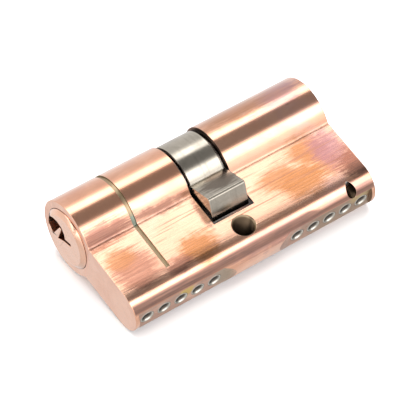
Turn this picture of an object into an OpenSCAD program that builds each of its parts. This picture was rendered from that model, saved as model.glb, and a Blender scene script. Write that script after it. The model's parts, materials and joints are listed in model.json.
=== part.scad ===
// Double profile cylinder for a mortise deadbolt lock.
// The fixing screw's cross hole is the origin. +Z points to the round barrel, -Y to the front
// keyway and +X to the face that the cam's lever leans towards at rest.

/* [Body] */
// Diameter of the round barrel
barrel_d = 17; // [16.6:0.1:17.4]
// Height over barrel and flange
profile_h = 33; // [32.5:0.1:34]
// Width of the flange
flange_w = 10; // [9.6:0.1:10.4]
// Length from the middle of the cam slot to either end
half_l = 30; // [30:1:45]
// Radius of the inside corner between barrel and flange
crease_r = 1; // [0.6:0.1:1.4]
// Depth of the flats ground along the bottom over the chambers
flat_depth = 0.8; // [0.5:0.1:1]
// Width of the snap-off groove
groove_w = 0.9; // [0.8:0.1:1.6]
// Depth of the snap-off groove
groove_depth = 0.4; // [0.3:0.1:0.6]
// Distance of the snap-off groove from the middle of the cam slot
groove_y = 18.7; // [18.2:0.1:19.2]

/* [Fixing screw] */
// Height of the barrel's axis above the fixing screw
axis_z = 18.5; // [18.4:0.1:18.9]
// Minor diameter of the M5 thread
screw_core_d = 4.2; // [4:0.1:4.4]
// Diameter of the countersink at each face
screw_sink_d = 5.2; // [5:0.1:6.2]

/* [Plug] */
// Diameter of the plug where it turns in the barrel
plug_d = 13; // [12.8:0.1:13.2]
// Diameter of the plug's head
head_d = 13.5; // [13.4:0.1:14]
// How far the head stands out of the end face
head_proud = 0.8; // [0.4:0.1:1.2]
// Width of the keyway's mouth at the top of the plug
keyway_w = 2.5; // [2.2:0.1:2.8]

/* [Pins] */
// Pin stacks in each half
pin_count = 5; // [5:1:5]
// Distance between neighbouring stacks
pin_pitch = 4.1; // [3.9:0.05:4.15]
// Distance of the innermost stack from the middle of the cam slot
first_pin_y = 10.4; // [10.3:0.1:10.6]
// Diameter of the pins
pin_d = 2.9; // [2.6:0.1:2.9]
// Length of each driver pin
driver_l = 5; // [4:0.5:6]
// Diameter of the cap that closes each chamber
cap_d = 3.2; // [3.2:0.1:3.4]

/* [Cam] */
// Width of the slot that the cam turns in
slot_w = 10; // [10:0.1:10.4]
// Depth of the slot below the barrel's axis
slot_depth = 15.1; // [14.9:0.1:15.2]
// Outside diameter of the cam's ring
ring_d = 16.2; // [16:0.1:16.6]
// Width of the ring along the barrel
ring_w = 8.2; // [8:0.1:8.3]
// Distance from the barrel's axis to the tip of the lever
lever_reach = 14.6; // [13.5:0.1:14.6]
// Thickness of the lever
lever_t = 6; // [5:0.5:7]
// Angle of the lever from straight down at rest
lever_angle = 26.5; // [0:0.5:30]

/* [Hidden] */
$fn = 96;
eps = 0.01;
far = 40;
play = 0.05;
slack = 0.15;

barrel_r = barrel_d / 2;
flange_r = flange_w / 2;
bottom_z = barrel_r - profile_h;
flat_z = bottom_z + flat_depth;
plug_r = plug_d / 2;
head_r = head_d / 2;
head_t = 1.05;
head_face_r = head_r - 0.95;
bevel_foot = 0.15;
bore_r = plug_r + play;
seat_r = head_r + 0.07;
seat_depth = head_t + play;
pin_r = pin_d / 2;
chamber_r = pin_r + play;
chamber_end_z = -5;
pin_chamfer = 0.3;
foot_gap = 0.15;
shear_gap = 0.07;
cap_r = cap_d / 2;
cap_h = 1.15;
cap_top_z = flat_z + cap_h;
plug_end_y = 3.2;
tongue_slot_depth = 1.05;
clip_groove = [4.25, 4.85];
clip_groove_r = 5.6;
clip_t = 0.54;
clip_y = (clip_groove[0] + clip_groove[1]) / 2;
clip_r = 7.35;
clip_bore_r = clip_groove_r + 0.02;
clip_opening = 70;
ring_r = ring_d / 2;
ring_bore_r = plug_r + play + eps;
lever_w = 9;
wing_r = 7.2;
wing_w = 2.5;
dog_r = 6.3;
dog_face_y = 1.7;
dog_t = 0.9;
tongue_l = 1.2;
tongue_w = 2.6;
tongue_h = 11;
pocket_r = 2.75;
pocket_depth = 0.35;
clutch_spring_r = 2.55;
coil_t = 0.4;
drill_pin_y = 24.4;
drill_pin_x = flange_r - 1.25;
drill_pin_r = 1.05;
drill_pin_top = 12;
drill_pin_l = 8.8;

// Highest point that a key pin's tip can reach, measured from the barrel's axis
pin_stop_z = 0.5;
// Lengths of the key pins, from the innermost stack outwards
front_pin_l = [3.5, 4.8, 4.2, 5.2, 3.8];
rear_pin_l = [4.8, 3.8, 5.2, 3.5, 4.2];

pin_names = [for (side = ["front", "rear"]) for (i = [1:pin_count]) str(side, "_", i)];

function pin_y(i) = first_pin_y + (i - 1) * pin_pitch;

// Moves a shape from the barrel's axis to the part's own frame.
module on_axis() {
    translate([0, 0, axis_z]) children();
}

// A cylinder along Y from y0 to y1, tapering from radius r0 to r1.
module along_y(y0, y1, r0, r1) {
    translate([0, y0, 0]) rotate([-90, 0, 0]) cylinder(h = y1 - y0, r1 = r0, r2 = r1);
}

// Extrudes an outline drawn in X and Z along Y.
module profile_along_y(y0, y1) {
    translate([0, y1, 0]) rotate([90, 0, 0]) linear_extrude(y1 - y0) children();
}

// Turns a part made for the front half round to the rear half.
module to_rear(rear) {
    rotate([0, 0, rear ? 180 : 0]) children();
}

// Rounded inside corners where the flange meets the barrel.
module crease_fillets() {
    reach = barrel_r + crease_r;
    centre_x = flange_r + crease_r;
    centre_z = -sqrt(reach * reach - centre_x * centre_x);
    tangent = [centre_x, centre_z] * barrel_r / reach;
    for (side = [-1, 1]) mirror([side < 0 ? 1 : 0, 0, 0])
        difference() {
            profile_along_y(-half_l, half_l)
                polygon([[0, -1], tangent, [centre_x, centre_z], [flange_r, centre_z], [0, centre_z]]);
            translate([centre_x, 0, centre_z]) along_y(-far, far, crease_r, crease_r);
        }
}

// Barrel and flange before anything is cut.
module body_blank() {
    along_y(-half_l, half_l, barrel_r, barrel_r);
    translate([-flange_r, -half_l, bottom_z + flange_r])
        cube([flange_w, 2 * half_l, -bottom_z - flange_r]);
    translate([0, 0, bottom_z + flange_r]) along_y(-half_l, half_l, flange_r, flange_r);
    crease_fillets();
}

// Material ground away under one row of chambers, with a sloping run-out towards the slot.
module bottom_flat() {
    end_land = 0.9;
    lead = 2;
    run_out = 3;
    outer = half_l - end_land;
    inner = first_pin_y - lead;
    translate([-far / 2, 0, 0]) rotate([90, 0, 90]) linear_extrude(far)
        polygon([[-outer, flat_z], [-inner, flat_z], [-inner + run_out, bottom_z - eps],
                 [-inner + run_out, bottom_z - 1], [-outer, bottom_z - 1]]);
}

// Groove round the barrel and down both faces of the flange, where the front end snaps off.
module snap_groove() {
    core_r = barrel_r - groove_depth;
    core_w = flange_w - 2 * groove_depth;
    groove_h = axis_z;
    difference() {
        translate([-far / 2, -groove_y - groove_w / 2, -groove_h])
            cube([far, groove_w, groove_h + barrel_r + 1]);
        along_y(-far, 0, core_r, core_r);
        translate([-core_w / 2, -far, -far]) cube([core_w, far, far]);
    }
}

// Threaded cross hole with a countersink at each face.
module screw_hole() {
    sink_h = (screw_sink_d - screw_core_d) / 2;
    translate([-far / 2, 0, -axis_z]) rotate([0, 90, 0]) cylinder(h = far, d = screw_core_d);
    for (side = [-1, 1]) mirror([side < 0 ? 1 : 0, 0, 0])
        translate([flange_r - sink_h, 0, -axis_z]) rotate([0, 90, 0])
            cylinder(h = sink_h + eps, d1 = screw_core_d, d2 = screw_sink_d + 2 * eps);
}

module housing() {
    color("peru") on_axis() difference() {
        body_blank();
        along_y(-far, far, bore_r, bore_r);
        for (rear = [false, true]) to_rear(rear) {
            along_y(-half_l - 1, -half_l + seat_depth, seat_r, seat_r);
            bottom_flat();
            for (i = [1:pin_count]) translate([0, -pin_y(i), 0]) {
                translate([0, 0, bottom_z - 1]) cylinder(h = chamber_end_z - bottom_z + 1, r = chamber_r);
                translate([0, 0, bottom_z - 1]) cylinder(h = cap_top_z - bottom_z + 1, r = cap_r);
            }
        }
        translate([-far / 2, -slot_w / 2, -slot_depth]) cube([far, slot_w, far]);
        snap_groove();
        screw_hole();
        translate([drill_pin_x, drill_pin_y, bottom_z - 1])
            cylinder(h = -bottom_z + 1 - drill_pin_top, r = drill_pin_r + play);
    }
}

module anti_drill_pin() {
    color("dimgray") on_axis()
        translate([drill_pin_x, drill_pin_y, -drill_pin_top - 2 * play - drill_pin_l])
            cylinder(h = drill_pin_l, r = drill_pin_r);
}

// Outline of the keyway seen from the front, open at the top of the plug.
module keyway_outline() {
    w = keyway_w / 2;
    lean = 0.4;
    top = plug_r + 1;
    polygon([[lean - w, top], [lean + w, top], [lean + w, 5.6], [2.5, 4.4], [2.9, 2.9], [2.7, 1.5],
             [1.7, 0.4], [0.4, -0.1], [1.1, -2], [0.5, -2.3], [-0.6, 0.2], [-1.9, 2.1],
             [1.9, 1.4], [1.9, 2.1], [-2, 3.7], [-1.9, 4.5], [lean - w, 5.7]]);
}

module plug(rear) {
    on_axis() to_rear(rear) difference() {
        union() {
            along_y(-half_l, -plug_end_y, plug_r, plug_r);
            along_y(-half_l - bevel_foot, -half_l + head_t, head_r, head_r);
            along_y(-half_l - head_proud, -half_l - bevel_foot, head_face_r, head_r);
        }
        profile_along_y(-far, 0) keyway_outline();
        for (i = [1:pin_count]) translate([0, -pin_y(i), -plug_r - 1])
            cylinder(h = plug_r + 1 + pin_stop_z, r = chamber_r);
        translate([-tongue_w / 2 - slack, -plug_end_y - tongue_slot_depth, -far / 2])
            cube([tongue_w + 2 * slack, tongue_slot_depth + 1, far]);
        difference() {
            along_y(-clip_groove[1], -clip_groove[0], far, far);
            along_y(-far, 0, clip_groove_r, clip_groove_r);
        }
    }
}

module front_plug() {
    color("tan") plug(false);
}

module rear_plug() {
    color("tan") plug(true);
}

// Open spring ring that holds a plug against the wall of the slot.
module circlip(rear) {
    color("silver") on_axis() to_rear(rear) difference() {
        along_y(-clip_y - clip_t / 2, -clip_y + clip_t / 2, clip_r, clip_r);
        along_y(-far, far, clip_bore_r, clip_bore_r);
        profile_along_y(-far, far)
            polygon([[0, 0], for (side = [-1, 1])
                2 * clip_r * [side * sin(clip_opening / 2), cos(clip_opening / 2)]]);
    }
}

module front_circlip() {
    circlip(false);
}

module rear_circlip() {
    circlip(true);
}

// Lever outline: X across it, Y outwards from the barrel's axis.
module lever_outline() {
    t = lever_t / 2;
    root = clip_r + 2 * play;
    chamfer = 0.4;
    polygon([[-t, root], [t, root], [t, lever_reach - chamfer], [t - chamfer, lever_reach],
             [-t + chamfer, lever_reach], [-t, lever_reach - chamfer]]);
}

module cam() {
    color("lightgray") on_axis() difference() {
        union() {
            along_y(-ring_w / 2, ring_w / 2, ring_r, ring_r);
            rotate([0, 180 - lever_angle, 0]) profile_along_y(-lever_w / 2, lever_w / 2) lever_outline();
        }
        along_y(-far, far, ring_bore_r, ring_bore_r);
        translate([-wing_r - slack, -far / 2, -wing_w / 2 - 2 * play])
            cube([2 * (wing_r + slack), far, wing_w + 4 * play]);
    }
}

// One sliding dog of the clutch: a disc with two wings for the cam and a tongue for the plug.
module clutch_dog(rear) {
    color("gray") on_axis() to_rear(rear) difference() {
        union() {
            along_y(-dog_face_y, -dog_face_y + dog_t, dog_r, dog_r);
            translate([-wing_r, -dog_face_y, -wing_w / 2]) cube([2 * wing_r, dog_t, wing_w]);
            translate([-tongue_w / 2, -dog_face_y - tongue_l, -tongue_h / 2])
                cube([tongue_w, tongue_l + eps, tongue_h]);
        }
        along_y(-dog_face_y + dog_t - pocket_depth, far, pocket_r, pocket_r);
    }
}

module clutch_front_dog() {
    clutch_dog(false);
}

module clutch_rear_dog() {
    clutch_dog(true);
}

module clutch_spring() {
    half = dog_face_y - dog_t + pocket_depth - play;
    color("silver") on_axis() difference() {
        along_y(-half, half, clutch_spring_r, clutch_spring_r);
        along_y(-far, far, clutch_spring_r - coil_t, clutch_spring_r - coil_t);
    }
}

// Places a shape in stack i of one half, its origin on the stack's axis.
module in_stack(rear, i) {
    on_axis() to_rear(rear) translate([0, -pin_y(i), 0]) children();
}

// Key pin with a cone at the end that touches the key. Its foot stays inside the round plug.
module key_pin(rear, i) {
    pin_l = (rear ? rear_pin_l : front_pin_l)[i - 1];
    cone_h = 0.9;
    tip_r = 0.5;
    color("goldenrod") in_stack(rear, i) translate([0, 0, -plug_r + foot_gap]) {
        cylinder(h = pin_chamfer, r1 = pin_r - pin_chamfer, r2 = pin_r);
        translate([0, 0, pin_chamfer]) cylinder(h = pin_l - cone_h - pin_chamfer, r = pin_r);
        translate([0, 0, pin_l - cone_h]) cylinder(h = cone_h, r1 = pin_r, r2 = tip_r);
    }
}

// Driver pin with chamfered ends.
module driver_pin(rear, i) {
    end_r = pin_r - pin_chamfer;
    color("darkkhaki") in_stack(rear, i) translate([0, 0, -bore_r - shear_gap - driver_l]) {
        cylinder(h = pin_chamfer, r1 = end_r, r2 = pin_r);
        translate([0, 0, pin_chamfer]) cylinder(h = driver_l - 2 * pin_chamfer, r = pin_r);
        translate([0, 0, driver_l - pin_chamfer]) cylinder(h = pin_chamfer, r1 = pin_r, r2 = end_r);
    }
}

// Space of a coil spring between a driver pin and its cap.
module pin_spring(rear, i) {
    spring_r = chamber_r - 5 * play;
    spring_h = -bore_r - shear_gap - driver_l - cap_top_z - 2 * play;
    color("silver") in_stack(rear, i) translate([0, 0, cap_top_z + play]) difference() {
        cylinder(h = spring_h, r = spring_r);
        translate([0, 0, -1]) cylinder(h = spring_h + 2, r = spring_r - coil_t);
    }
}

// Dished cap pressed into the mouth of a chamber.
module chamber_cap(rear, i) {
    dish_depth = 0.75;
    rim = 0.25;
    dish_slope = 0.35;
    color("silver") in_stack(rear, i) translate([0, 0, flat_z]) difference() {
        cylinder(h = cap_h, r = cap_r);
        translate([0, 0, -eps])
            cylinder(h = dish_depth + eps, r1 = cap_r - rim, r2 = cap_r - rim - dish_slope);
    }
}

housing();
anti_drill_pin();
front_plug();
rear_plug();
front_circlip();
rear_circlip();
cam();
clutch_front_dog();
clutch_rear_dog();
clutch_spring();
for (side = ["front", "rear"]) for (i = [1:pin_count]) {
    rear = side == "rear";
    key_pin(rear, i);
    driver_pin(rear, i);
    pin_spring(rear, i);
    chamber_cap(rear, i);
}
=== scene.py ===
import json
import math

import bmesh
import bpy
from bpy.props import FloatProperty, FloatVectorProperty, IntProperty, PointerProperty
from mathutils import Matrix, Vector


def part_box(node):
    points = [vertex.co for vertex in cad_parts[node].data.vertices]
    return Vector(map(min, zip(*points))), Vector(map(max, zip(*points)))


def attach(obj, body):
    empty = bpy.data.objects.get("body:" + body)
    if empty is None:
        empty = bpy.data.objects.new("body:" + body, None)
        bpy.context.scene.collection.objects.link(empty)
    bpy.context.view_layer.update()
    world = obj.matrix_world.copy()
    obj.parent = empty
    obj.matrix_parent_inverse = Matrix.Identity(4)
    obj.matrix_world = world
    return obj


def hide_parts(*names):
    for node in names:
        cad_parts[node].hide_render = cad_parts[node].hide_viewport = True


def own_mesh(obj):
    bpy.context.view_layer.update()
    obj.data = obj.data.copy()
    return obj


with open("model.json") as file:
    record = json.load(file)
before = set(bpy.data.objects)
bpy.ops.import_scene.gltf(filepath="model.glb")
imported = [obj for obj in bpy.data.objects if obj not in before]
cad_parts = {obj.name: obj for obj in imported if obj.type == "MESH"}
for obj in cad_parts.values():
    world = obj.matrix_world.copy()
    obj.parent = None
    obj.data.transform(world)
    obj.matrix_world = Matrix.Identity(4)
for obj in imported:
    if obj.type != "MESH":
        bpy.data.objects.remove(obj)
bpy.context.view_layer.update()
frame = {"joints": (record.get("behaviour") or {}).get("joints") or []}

bl_info = {
    "name": "Profile Cylinder Lock",
    "version": (1, 0, 0),
    "blender": (4, 5, 0),
    "location": "3D View > Sidebar > Lock Cylinder",
    "description": "Builds the detailed pieces, finishes and studio of a double profile cylinder",
    "category": "Object",
}

MM = 0.001
SIDES = ("front", "rear")
PINS_A_SIDE = 5
PAST = 20  # reach of a tool that cuts right through, in millimetres
STACK_RADIUS = 1.5  # hole that a pin stack slides in, in millimetres
HEAD_SEAT = 1.1  # depth of the recess for a plug's head, in millimetres
GUARD_RADIUS = 1.1  # hole of the anti-drill pin, in millimetres


def barrel_axis():
    """Middle of the barrel's axis, in the frame."""
    low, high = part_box("front_plug")
    return Vector((0, 0, (low.z + high.z) / 2))


AXIS = barrel_axis()


def span(node):
    """Lowest and highest corner of a frame node, in millimetres from the middle of the axis."""
    low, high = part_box(node)
    return (low - AXIS) / MM, (high - AXIS) / MM


# ---------------------------------------------------------------- sizes and colours


def length(name, description, default):
    """A length property, given in millimetres and kept in metres."""
    return FloatProperty(
        name=name, description=description, default=default * MM, precision=5, unit="LENGTH"
    )


def colour(name, description, default):
    """A colour property."""
    return FloatVectorProperty(
        name=name, description=description, default=default, size=3, min=0, max=1, subtype="COLOR"
    )


def share(name, description, default):
    """A number from 0 to 1."""
    return FloatProperty(
        name=name, description=description, default=default, min=0, max=1, subtype="FACTOR"
    )


class HousingSizes(bpy.types.PropertyGroup):
    """Sizes of the barrel and flange."""

    barrel_radius: length("Barrel radius", "Radius of the round barrel", span("housing")[1].z)
    half_length: length("Half length", "From the middle to an end face", span("housing")[1].y)
    bottom: length("Bottom", "Depth of the flange below the barrel's axis", -span("housing")[0].z)
    flange_half: length("Flange half width", "Half the width of the flange", 5)
    crease: length("Crease radius", "Inside corner between barrel and flange", 1)
    bore_radius: length("Bore radius", "Radius of the bore that a plug turns in", 6.55)
    seat_radius: length("Seat radius", "Radius of the recess round a plug's head", 6.82)
    slot_half: length("Slot half width", "Half the width of the cam's slot", 5)
    slot_depth: length("Slot depth", "Depth of the cam's slot below the axis", 15.1)
    groove_y: length("Groove distance", "Snap-off groove, from the middle of the slot", 18.7)
    groove_width: length("Groove width", "Width of the snap-off groove", 0.9)
    groove_depth: length("Groove depth", "Depth of the snap-off groove", 0.4)
    screw_drop: length("Screw drop", "Depth of the screw's hole below the barrel's axis", 18.5)
    thread_pitch: length("Thread pitch", "Pitch of the screw's thread", 0.8)
    end_round: length("End rounding", "Rounding of the end faces' outer edges", 0.16)
    edge_round: length("Edge rounding", "Rounding of the other edges", 0.08)


class PlugSizes(bpy.types.PropertyGroup):
    """Sizes of the two plugs."""

    radius: length("Radius", "Radius of the plug in its bore", 6.5)
    head_radius: length("Head radius", "Radius of the plug's head", 6.75)
    face_radius: length("Face radius", "Radius of the flat face inside the bevel", 5.8)
    keyway_half: length("Keyway half width", "Half the width of the keyway's top", 1.25)
    edge_round: length("Edge rounding", "Rounding of the keyway's mouth", 0.12)


class CamSizes(bpy.types.PropertyGroup):
    """Sizes of the cam."""

    ring_radius: length("Ring radius", "Outside radius of the ring", 8.1)
    ring_width: length("Ring width", "Width of the ring along the barrel", 8.2)
    lever_width: length("Lever width", "Width of the lever along the barrel", 9)
    lever_thickness: length("Lever thickness", "Thickness of the lever", 6)
    lever_reach: length("Lever reach", "From the axis to the lever's tip", 14.6)
    lever_angle: FloatProperty(
        name="Lever angle",
        description="Angle of the lever from straight down at rest",
        default=math.radians(26.5),
        subtype="ANGLE",
    )
    edge_round: length("Edge rounding", "Rounding of the cam's edges", 0.14)


class PinSizes(bpy.types.PropertyGroup):
    """Sizes of the pin stacks."""

    turns: IntProperty(
        name="Spring turns", description="Turns in each pin spring", default=12, min=4
    )
    wire: length("Wire", "Thickness of the spring wire", 0.4)
    tip_round: length("Tip radius", "Radius of the flat on a key pin's tip", 0.5)


class Finishes(bpy.types.PropertyGroup):
    """Colours of the metals."""

    copper: colour("Copper", "Clean plating on the body", (0.95, 0.53, 0.35))
    amber: colour("Amber", "Orange heat stain on the flange", (0.5, 0.2, 0.065))
    rose: colour("Rose", "Pink-brown stain on the flange", (0.34, 0.13, 0.085))
    lilac: colour("Lilac", "Purple tarnish", (0.38, 0.17, 0.2))
    # Umber also colours a painted shade on the flank beside the slot.
    umber: colour("Umber", "Dark brown tarnish along the foot", (0.17, 0.075, 0.05))
    blush: colour("Blush", "Mild tarnish on the barrel", (0.86, 0.4, 0.23))
    bare: colour("Bare brass", "Brass where a tool has cut", (0.34, 0.24, 0.14))
    flats: colour("Ground flats", "Brass of the ground flats", (0.4, 0.34, 0.25))
    verdigris: colour("Verdigris", "Green deposit in the groove", (0.28, 0.36, 0.3))
    plug: colour("Plug", "Plating on the plugs", (0.96, 0.58, 0.41))
    cam: colour("Cam steel", "Satin steel of the cam", (0.52, 0.475, 0.4))
    clutch: colour("Clutch steel", "Sintered steel of the clutch", (0.4, 0.39, 0.37))
    spring: colour("Spring steel", "Drawn wire", (0.62, 0.61, 0.57))
    cap: colour("Cap steel", "Pressed caps", (0.66, 0.63, 0.56))
    hard: colour("Hard steel", "Anti-drill pin", (0.3, 0.29, 0.28))
    brass: colour("Pin brass", "Key pins", (0.76, 0.55, 0.22))
    nickel: colour("Nickel silver", "Driver pins", (0.62, 0.57, 0.46))
    wear: share("Edge wear", "How bright the worn edges are", 0.55)


class StageSettings(bpy.types.PropertyGroup):
    """Floor, lights and camera."""

    lens: FloatProperty(
        name="Lens", description="Focal length", default=241.5, min=1, unit="CAMERA"
    )
    studio: FloatProperty(
        name="Studio light", description="Strength of the surrounding light", default=3.3, min=0
    )
    key_power: FloatProperty(
        name="Key light", description="Power of the overhead light", default=3.0, min=0, unit="POWER"
    )
    floor: colour("Floor", "Colour of the floor", (0.9, 0.9, 0.9))


class CylinderSettings(bpy.types.PropertyGroup):
    """All the settings of the lock."""

    housing: PointerProperty(type=HousingSizes)
    plug: PointerProperty(type=PlugSizes)
    cam: PointerProperty(type=CamSizes)
    pins: PointerProperty(type=PinSizes)
    finishes: PointerProperty(type=Finishes)
    stage: PointerProperty(type=StageSettings)


def settings():
    """The settings kept with the scene."""
    return bpy.context.scene.profile_cylinder


class Millimetres:
    """Reads a group of length settings in millimetres."""

    def __init__(self, group):
        self.group = group

    def __getattr__(self, name):
        return getattr(self.group, name) / MM


# ---------------------------------------------------------------- shapes, in millimetres


def skin(name, rings, closed=False):
    """A solid through rings of points: a loop if closed, and with flat ends if not."""
    size, count = len(rings[0]), len(rings)
    faces = []
    for i in range(count if closed else count - 1):
        here, there = i * size, (i + 1) % count * size
        for j in range(size):
            k = (j + 1) % size
            faces.append((here + j, here + k, there + k, there + j))
    if not closed:
        faces += [tuple(range(size)), tuple(range((count - 1) * size, count * size))]
    return solid(name, [point for ring in rings for point in ring], faces)


def solid(name, points, faces):
    """A new object from points and faces, with its normals outwards."""
    mesh = bpy.data.meshes.new(name)
    mesh.from_pydata(points, [], faces)
    shape = bmesh.new()
    shape.from_mesh(mesh)
    loose = [point for point in shape.verts if not point.link_faces]
    bmesh.ops.delete(shape, geom=loose, context="VERTS")
    bmesh.ops.recalc_face_normals(shape, faces=shape.faces)
    shape.to_mesh(mesh)
    shape.free()
    piece = bpy.data.objects.new(name, mesh)
    bpy.context.scene.collection.objects.link(piece)
    return piece


def along(axis, a, b, t):
    """The point at distance t along an axis, with the other two coordinates a and b."""
    return {"X": (t, a, b), "Y": (a, t, b), "Z": (a, b, t)}[axis]


def prism(name, outline, axis, start, end):
    """An outline drawn across an axis, extruded along it."""
    return skin(name, [[along(axis, a, b, t) for a, b in outline] for t in (start, end)])


def arc(radius, start, end, steps, centre=(0, 0)):
    """Points on an arc, its angles in degrees, both ends included."""
    points = []
    for i in range(steps + 1):
        t = math.radians(start + (end - start) * i / steps)
        points.append((centre[0] + radius * math.cos(t), centre[1] + radius * math.sin(t)))
    return points


def circle(radius, steps=96):
    """Points round a circle."""
    return arc(radius, 0, 360 * (steps - 1) / steps, steps - 1)


def turned(name, outline, axis, centre=(0, 0), steps=64, closed=False):
    """A lathe shape from (radius, distance along the axis) pairs."""
    rings = []
    for radius, t in outline:
        rings.append(
            [along(axis, centre[0] + radius * math.cos(2 * math.pi * i / steps),
                   centre[1] + radius * math.sin(2 * math.pi * i / steps), t)
             for i in range(steps)]
        )
    return skin(name, rings, closed)


def block(name, low, high):
    """A cutting block between two corners."""
    outline = [(low[0], low[2]), (high[0], low[2]), (high[0], high[2]), (low[0], high[2])]
    return prism(name, outline, "Y", low[1], high[1])


def gather(name, pieces):
    """Makes one object of several that don't touch."""
    shape = bmesh.new()
    for piece in pieces:
        piece.data.transform(piece.matrix_world)
        shape.from_mesh(piece.data)
        bpy.data.objects.remove(piece)
    mesh = bpy.data.meshes.new(name)
    shape.to_mesh(mesh)
    shape.free()
    whole = bpy.data.objects.new(name, mesh)
    bpy.context.scene.collection.objects.link(whole)
    return whole


def to_rear(piece):
    """Turns a piece made for the front half round to the rear half."""
    piece.data.transform(Matrix.Rotation(math.pi, 4, "Z"))
    return piece


def paint(piece, finish_names, index=0):
    """Gives a piece or a tool its list of finishes and one of them for all its faces."""
    piece.data.materials.clear()
    for name in finish_names:
        piece.data.materials.append(finish(name))
    for face in piece.data.polygons:
        face.material_index = index
    return piece


def carve(piece, tools, operation="DIFFERENCE"):
    """Cuts the tools out of a piece, or joins them to it, and throws the tools away."""
    for tool in tools:
        step = piece.modifiers.new("carve", "BOOLEAN")
        step.operation = operation
        step.solver = "EXACT"
        step.object = tool
    done = piece.evaluated_get(bpy.context.evaluated_depsgraph_get())
    mesh = bpy.data.meshes.new_from_object(done)
    piece.modifiers.clear()
    piece.data = mesh
    for tool in tools:
        bpy.data.objects.remove(tool)
    return piece


def round_edges(piece, width, segments=2, chosen=lambda edge: True, sharper_than=28):
    """Rounds the sharp edges of a piece."""
    shape = bmesh.new()
    shape.from_mesh(piece.data)
    bmesh.ops.remove_doubles(shape, verts=shape.verts, dist=0.0005)
    bmesh.ops.dissolve_degenerate(shape, edges=shape.edges, dist=0.0005)
    limit = math.radians(sharper_than)
    edges = [e for e in shape.edges if e.is_manifold and e.calc_face_angle(0) > limit and chosen(e)]
    bmesh.ops.bevel(
        shape, geom=edges, offset=width, offset_type="OFFSET", segments=segments,
        profile=0.5, affect="EDGES", clamp_overlap=False, loop_slide=True, material=-1,
    )
    shape.to_mesh(piece.data)
    shape.free()
    return piece


def into_frame(piece, name, body, slot_name, *nodes, smooth_below=40, even=True):
    """Moves a finished shape into the frame, and says what it rides on and stands for."""
    piece.name = name
    piece.data.name = name
    piece.data.transform(Matrix.Translation(AXIS) @ Matrix.Scale(MM, 4))
    piece.data.shade_smooth()
    piece.data.set_sharp_from_angle(angle=math.radians(smooth_below))
    if even:
        shading = piece.modifiers.new("even_shading", "WEIGHTED_NORMAL")
        shading.keep_sharp = True
    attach(piece, body)
    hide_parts(*nodes)
    return piece


# ---------------------------------------------------------------- finishes


class Wiring:
    """Adds shader nodes to a tree and joins them."""

    def __init__(self, tree):
        self.tree = tree

    def add(self, kind, inputs=None, **values):
        """A node. Inputs are sockets to join, or values to set."""
        node = self.tree.nodes.new(kind)
        for name, value in values.items():
            setattr(node, name, value)
        for name, value in (inputs or {}).items():
            if isinstance(value, bpy.types.NodeSocket):
                self.tree.links.new(value, node.inputs[name])
            else:
                node.inputs[name].default_value = value
        return node

    def maths(self, operation, a, b=0.0, clamp=False):
        """A Math node's result."""
        return self.add(
            "ShaderNodeMath", {0: a, 1: b}, operation=operation, use_clamp=clamp
        ).outputs[0]

    def vector(self, operation, a, b):
        """A Vector Math node's result."""
        return self.add("ShaderNodeVectorMath", {0: a, 1: b}, operation=operation).outputs[0]

    def scaled(self, vector, factor):
        """A vector times a number."""
        values = {0: vector, "Scale": factor}
        return self.add("ShaderNodeVectorMath", values, operation="SCALE").outputs[0]

    def size(self, vector):
        """The length of a vector."""
        return self.add("ShaderNodeVectorMath", {0: vector}, operation="LENGTH").outputs["Value"]

    def scale_add(self, value, factor, offset):
        """A number times a factor, plus an offset."""
        values = {0: value, 1: factor, 2: offset}
        return self.add("ShaderNodeMath", values, operation="MULTIPLY_ADD").outputs[0]

    def tint(self, base, mask, strength, colour):
        """A colour laid over the base where the mask is, at a strength from 0 to 1."""
        return self.mix(self.maths("MULTIPLY", mask, strength), base, colour)

    def mix(self, factor, a, b, kind="MIX"):
        """Two colours mixed."""
        return self.add(
            "ShaderNodeMix", {0: factor, 6: a, 7: b}, data_type="RGBA", blend_type=kind
        ).outputs[2]

    def ramp(self, value, start, end, low=0.0, high=1.0):
        """A smooth step from low to high as the value goes from start to end."""
        node = self.add(
            "ShaderNodeMapRange", {0: value, 1: start, 2: end, 3: low, 4: high},
            interpolation_type="SMOOTHSTEP",
        )
        return node.outputs[0]

    def noise(self, vector, scale, detail=3.0, roughness=0.55, distortion=0.0):
        """Noise from 0 to 1."""
        return self.add(
            "ShaderNodeTexNoise",
            {"Vector": vector, "Scale": scale, "Detail": detail, "Roughness": roughness,
             "Distortion": distortion},
        ).outputs[0]

    def effect(self, group, inputs):
        """A node group placed here, its outputs by name."""
        node = self.add("ShaderNodeGroup")
        node.node_tree = group
        for name, value in inputs.items():
            if isinstance(value, bpy.types.NodeSocket):
                self.tree.links.new(value, node.inputs[name])
            else:
                node.inputs[name].default_value = value
        return node.outputs


def rgba(value):
    """A colour with full alpha."""
    return (*value[:3], 1.0)


def new_effect(name, inputs, outputs):
    """An empty node group with named sockets, with its two ends."""
    group = bpy.data.node_groups.new(name, "ShaderNodeTree")
    for label, (kind, value) in inputs.items():
        socket = group.interface.new_socket(name=label, in_out="INPUT", socket_type="NodeSocket" + kind)
        socket.default_value = value
    for label, kind in outputs.items():
        group.interface.new_socket(name=label, in_out="OUTPUT", socket_type="NodeSocket" + kind)
    wiring = Wiring(group)
    return group, wiring, wiring.add("NodeGroupInput").outputs, wiring.add("NodeGroupOutput").inputs


def make_place():
    """Position on the piece in millimetres, as a vector and as its three numbers."""
    group, w, _, out = new_effect(
        "place_in_mm", {}, {"Place": "Vector", "X": "Float", "Y": "Float", "Z": "Float"}
    )
    coordinates = w.add("ShaderNodeTexCoord").outputs["Object"]
    place = w.vector("SUBTRACT", w.scaled(coordinates, 1 / MM), tuple(AXIS / MM))
    parts = w.add("ShaderNodeSeparateXYZ", {0: place}).outputs
    for label, socket in (("Place", place), ("X", parts[0]), ("Y", parts[1]), ("Z", parts[2])):
        group.links.new(socket, out[label])
    return group


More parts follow.
